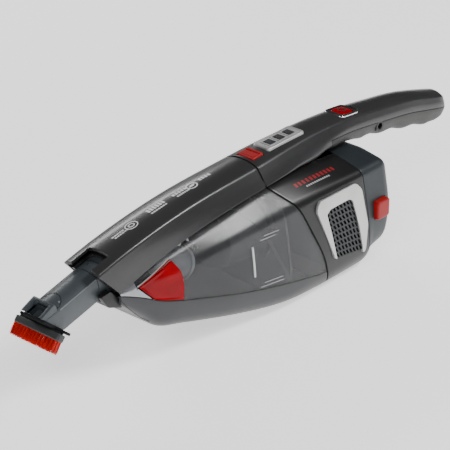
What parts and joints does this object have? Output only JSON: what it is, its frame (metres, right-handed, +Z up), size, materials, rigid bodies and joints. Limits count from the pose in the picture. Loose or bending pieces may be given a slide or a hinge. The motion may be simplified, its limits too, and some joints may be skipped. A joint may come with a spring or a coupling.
{
  "type": "handheld vacuum",
  "caption": "Cordless handheld vacuum with clear dust container, pull-out crevice tool and brush head, arched handle, side vents and a slide-off battery pack.",
  "frame": {"origin": "middle of the flat underside of the motor housing, on the plane that the vacuum rests on, in its plane of symmetry", "axes": "+X from the nozzle towards the handle, +Z up, and +Y across the body, completing a right-handed frame"},
  "size_m": [0.4689, 0.105, 0.115],
  "materials": {
    "graphite_gloss": "glossy metallic dark grey",
    "grip_grey": "warm dark grey, fine matte grain",
    "housing_gloss": "glossy metallic dark grey",
    "cover_satin": "satin mid grey",
    "cap_bluegrey": "satin blue grey",
    "smoke_clear": "clear smoky plastic",
    "nose_silver": "light silver",
    "lens_red": "translucent glossy red",
    "button_red": "glossy red",
    "tool_bluegrey": "satin blue grey",
    "bar_dark": "satin dark grey",
    "bristle_red": "nylon bristle red",
    "black_part": "matte black",
    "dark_inner": "dark grey moulding",
    "silver_bezel": "satin silver",
    "grille_dark": "satin dark grey",
    "panel_silver": "satin silver",
    "chrome_trim": "bright",
    "filter_paper": "pleated paper",
    "foam_black": "open foam",
    "seal_rubber": "matte black",
    "motor_steel": "zinc plated",
    "shaft_steel": "ground",
    "screw_steel": "nickel plated",
    "contact_brass": "bright",
    "cell_wrap": "shrink wrap",
    "board_green": "solder mask"
  },
  "bodies": {
    "main_unit": {"handle_top_shell": "graphite_gloss", "grip_lower_shell": "grip_grey", "motor_housing_left": "housing_gloss", "motor_housing_right": "housing_gloss", "vent_bezel_left": "silver_bezel", "vent_bezel_right": "silver_bezel", "vent_grille_left": "grille_dark", "vent_grille_right": "grille_dark", "exhaust_foam_left": "foam_black", "exhaust_foam_right": "foam_black", "status_panel": "panel_silver", "panel_trim": "silver_bezel", "charge_leds": "black_part", "control_board": "board_green", "charging_socket": "black_part", "container_seal": "seal_rubber", "container_hook": "black_part", "front_bulkhead": "dark_inner", "fan_shroud": "dark_inner", "motor_can": "motor_steel", "motor_mount_front": "seal_rubber", "motor_mount_rear": "seal_rubber", "housing_screws": "screw_steel", "power_trim": "chrome_trim"},
    "rotor": {"motor_shaft": "shaft_steel", "fan_impeller": "dark_inner"},
    "power_button": {"power_button": "lens_red"},
    "release_button": {"release_button": "button_red"},
    "dust_container": {"nose_spine_shell": "graphite_gloss", "nozzle_channel": "black_part", "dust_bowl": "smoke_clear", "lower_cover": "cover_satin", "nose_lens_left": "lens_red", "nose_lens_right": "lens_red", "nose_clear_left": "nose_silver", "nose_clear_right": "nose_silver", "inlet_duct": "dark_inner", "filter_ring": "dark_inner", "filter_frame": "dark_inner", "pleated_filter": "filter_paper"},
    "inlet_flap": {"inlet_flap": "seal_rubber"},
    "crevice_tool": {"tool_tube": "tool_bluegrey", "tool_collar": "tool_bluegrey"},
    "brush_head": {"brush_flange": "black_part", "brush_bar": "bar_dark", "bristles": "bristle_red"},
    "battery_pack": {"battery_cover": "cap_bluegrey", "battery_plate": "black_part", "battery_contacts": "contact_brass", "cell_holder": "black_part", "battery_cells": "cell_wrap"},
    "battery_release_left": {"battery_release_left": "button_red"},
    "battery_release_right": {"battery_release_right": "button_red"}
  },
  "joints": [
    {"name": "container_release", "type": "slide", "parent": "main_unit", "child": "dust_container", "axis": [-1, 0, 0], "range_m": [0, 0.06]},
    {"name": "inlet_flap_hinge", "type": "hinge", "parent": "dust_container", "child": "inlet_flap", "pos_m": [-0.11988, 0, 0.06403], "axis": [0, -1, 0], "range_deg": [0, 55], "stiffness_Nm_per_rad": 0.002, "springref_deg": -11.46},
    {"name": "tool_slide", "type": "slide", "parent": "dust_container", "child": "crevice_tool", "axis": [-0.9703, 0, -0.2419], "range_m": [-0.018, 0.03]},
    {"name": "brush_pull_off", "type": "slide", "parent": "crevice_tool", "child": "brush_head", "axis": [-0.9703, 0, -0.2419], "range_m": [0, 0.025]},
    {"name": "fan_spin", "type": "hinge", "parent": "main_unit", "child": "rotor", "pos_m": [-0.013, 0, 0.058], "axis": [1, 0, 0], "continuous": true},
    {"name": "power_press", "type": "slide", "parent": "main_unit", "child": "power_button", "axis": [0.052, 0, -0.9986], "range_m": [0, 0.0015], "stiffness_N_per_m": 600, "springref_m": -0.001},
    {"name": "release_press", "type": "slide", "parent": "main_unit", "child": "release_button", "axis": [0.016, 0, -0.9999], "range_m": [0, 0.002], "stiffness_N_per_m": 600, "springref_m": -0.001},
    {"name": "battery_slide", "type": "slide", "parent": "main_unit", "child": "battery_pack", "axis": [0.9613, 0, -0.2756], "range_m": [0, 0.024]},
    {"name": "battery_release_left_press", "type": "slide", "parent": "battery_pack", "child": "battery_release_left", "axis": [0, 1, 0], "range_m": [0, 0.002], "stiffness_N_per_m": 500, "springref_m": -0.001},
    {"name": "battery_release_right_press", "type": "slide", "parent": "battery_pack", "child": "battery_release_right", "axis": [0, -1, 0], "range_m": [0, 0.002], "stiffness_N_per_m": 500, "springref_m": -0.001}
  ]
}
